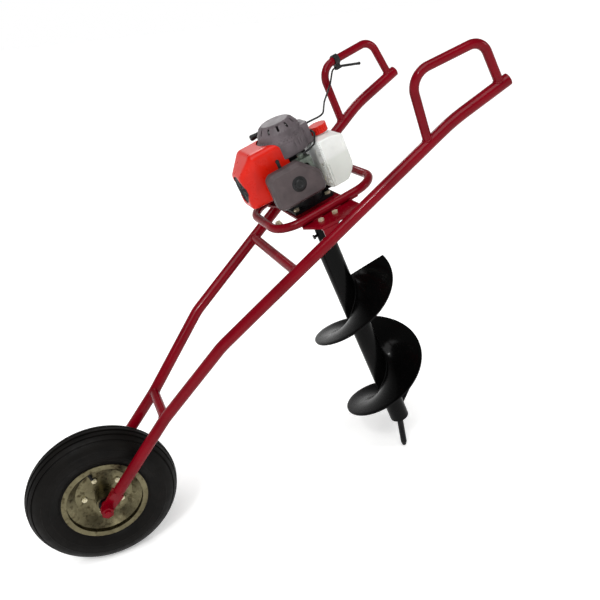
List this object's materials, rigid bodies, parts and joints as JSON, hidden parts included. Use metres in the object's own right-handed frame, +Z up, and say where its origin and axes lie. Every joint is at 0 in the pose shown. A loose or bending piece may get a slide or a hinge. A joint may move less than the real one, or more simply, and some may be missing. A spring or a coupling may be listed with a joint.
{
  "type": "earth auger",
  "caption": "Wheelbarrow-style earth auger: welded tube frame with loop handles, pneumatic front wheel, small petrol engine over a reduction gearbox, and a helical boring flight.",
  "frame": {"origin": "middle of the machine's footprint on the ground, with wheel and pilot point on the ground", "axes": "+X back towards the handles, +Y to the operator's right, +Z up"},
  "size_m": [1.3085, 0.5478, 1.248],
  "materials": {
    "frame_paint": "gloss crimson enamel over welded tube",
    "zinc_fastener": "zinc plated",
    "steel": "machined",
    "bearing_steel": "ground",
    "rim_steel": "dull yellow zinc",
    "tyre_rubber": "moulded tread rubber",
    "tube_rubber": "soft",
    "black_casting": "black painted casting",
    "alloy": "die cast",
    "friction_lining": "sintered",
    "dark_plastic": "textured moulding",
    "black_plastic": "moulded",
    "red_plastic": "gloss orange-red moulding",
    "tank_plastic": "translucent white moulding",
    "sooty_steel": "heat darkened sheet",
    "black_steel": "black paint",
    "plug_ceramic": "glazed insulator on plated steel",
    "filter_foam": "open cell foam",
    "auger_paint": "gloss black enamel"
  },
  "bodies": {
    "frame": {"left_arm": "frame_paint", "right_arm": "frame_paint", "fork_bridge": "frame_paint", "middle_cross_tube": "frame_paint", "mounting_ring": "frame_paint", "base_plate": "frame_paint", "gussets": "frame_paint", "left_handle_loop": "frame_paint", "right_handle_loop": "frame_paint", "base_bolts": "zinc_fastener", "axle_hardware": "zinc_fastener", "axle": "steel", "shaft_bearings": "bearing_steel", "plug_boot": "tube_rubber", "fuel_hose": "tube_rubber", "gearbox_housing": "black_casting", "gearbox_cover": "black_casting", "clutch_housing": "black_casting", "crankcase": "alloy", "engine_cylinder": "alloy", "carburettor": "alloy", "fan_housing": "dark_plastic", "starter_housing": "dark_plastic", "filter_base": "dark_plastic", "filter_cover": "dark_plastic", "intake_block": "black_plastic", "throttle_clamp": "black_plastic", "throttle_cable": "black_plastic", "cylinder_shroud": "red_plastic", "fuel_tank": "tank_plastic", "muffler": "sooty_steel", "tank_bracket": "black_steel", "spark_plug": "plug_ceramic", "filter_element": "filter_foam"},
    "wheel": {"wheel_hub": "steel", "wheel_bearings": "bearing_steel", "rim_left": "rim_steel", "rim_right": "rim_steel", "rim_bolts": "zinc_fastener", "tyre": "tyre_rubber", "inner_tube": "tube_rubber"},
    "auger": {"auger_tube": "auger_paint", "auger_flight": "auger_paint", "cutting_blade": "auger_paint", "pilot_point": "auger_paint", "coupling_pin": "black_steel", "output_shaft": "steel", "output_gear": "steel"},
    "intermediate": {"intermediate_gear": "steel"},
    "drum": {"clutch_drum": "steel"},
    "crank": {"crankshaft": "steel", "flywheel": "alloy", "clutch_shoes": "friction_lining"},
    "piston": {"piston": "alloy"},
    "grip": {"starter_grip": "black_plastic"},
    "reel": {"starter_reel": "black_plastic"},
    "lever": {"throttle_lever": "black_plastic"},
    "carburettor_drum": {"throttle_drum": "alloy"},
    "choke": {"choke_lever": "black_plastic"},
    "cap": {"fuel_cap": "red_plastic"}
  },
  "joints": [
    {"name": "wheel_spin", "type": "hinge", "parent": "frame", "child": "wheel", "pos_m": [-0.45433, 0, 0.2], "axis": [0, 1, 0], "continuous": true},
    {"name": "auger_spin", "type": "hinge", "parent": "frame", "child": "auger", "pos_m": [0.22495, 0, 0.88311], "axis": [-0.3088, 0, 0.9511], "continuous": true},
    {"name": "intermediate_spin", "type": "hinge", "parent": "frame", "child": "intermediate", "pos_m": [0.22495, 0.04135, 0.88311], "axis": [-0.3088, 0, 0.9511], "continuous": true},
    {"name": "drum_spin", "type": "hinge", "parent": "frame", "child": "drum", "pos_m": [0.2055, 0, 0.94303], "axis": [-0.3088, 0, 0.9511], "continuous": true},
    {"name": "crank_spin", "type": "hinge", "parent": "frame", "child": "crank", "pos_m": [0.18851, 0, 0.99534], "axis": [-0.3088, 0, 0.9511], "continuous": true},
    {"name": "piston_stroke", "type": "slide", "parent": "frame", "child": "piston", "axis": [-0.9511, 0, -0.3088], "range_m": [-0.016, 0.016]},
    {"name": "starter_pull", "type": "slide", "parent": "frame", "child": "grip", "axis": [0, 1, 0], "range_m": [0, 0.55], "stiffness_N_per_m": 20, "springref_m": -0.3},
    {"name": "reel_turn", "type": "hinge", "parent": "frame", "child": "reel", "pos_m": [0.1632, 0, 1.07333], "axis": [-0.3088, 0, 0.9511], "range_deg": [-1090, 0]},
    {"name": "throttle_squeeze", "type": "hinge", "parent": "frame", "child": "lever", "pos_m": [0.45401, 0.24561, 1.18666], "axis": [0.1157, -0.9926, 0.0375], "range_deg": [0, 18], "stiffness_Nm_per_rad": 0.3, "springref_deg": -34.38},
    {"name": "throttle_open", "type": "hinge", "parent": "frame", "child": "carburettor_drum", "pos_m": [0.18805, -0.071, 1.01622], "axis": [-0.3088, 0, 0.9511], "range_deg": [0, 60]},
    {"name": "choke_swing", "type": "hinge", "parent": "frame", "child": "choke", "pos_m": [0.12969, -0.086, 0.99517], "axis": [0, 1, 0], "range_deg": [0, 60]},
    {"name": "cap_lift", "type": "slide", "parent": "frame", "child": "cap", "axis": [-0.3088, 0, 0.9511], "range_m": [0, 0.06]}
  ],
  "couplings": [
    {"joint": "intermediate_spin", "follows": "auger_spin", "ratio": -5},
    {"joint": "drum_spin", "follows": "auger_spin", "ratio": 25},
    {"joint": "reel_turn", "follows": "starter_pull", "rad_per_m": -34.483},
    {"joint": "throttle_open", "follows": "throttle_squeeze", "ratio": 3.333}
  ]
}
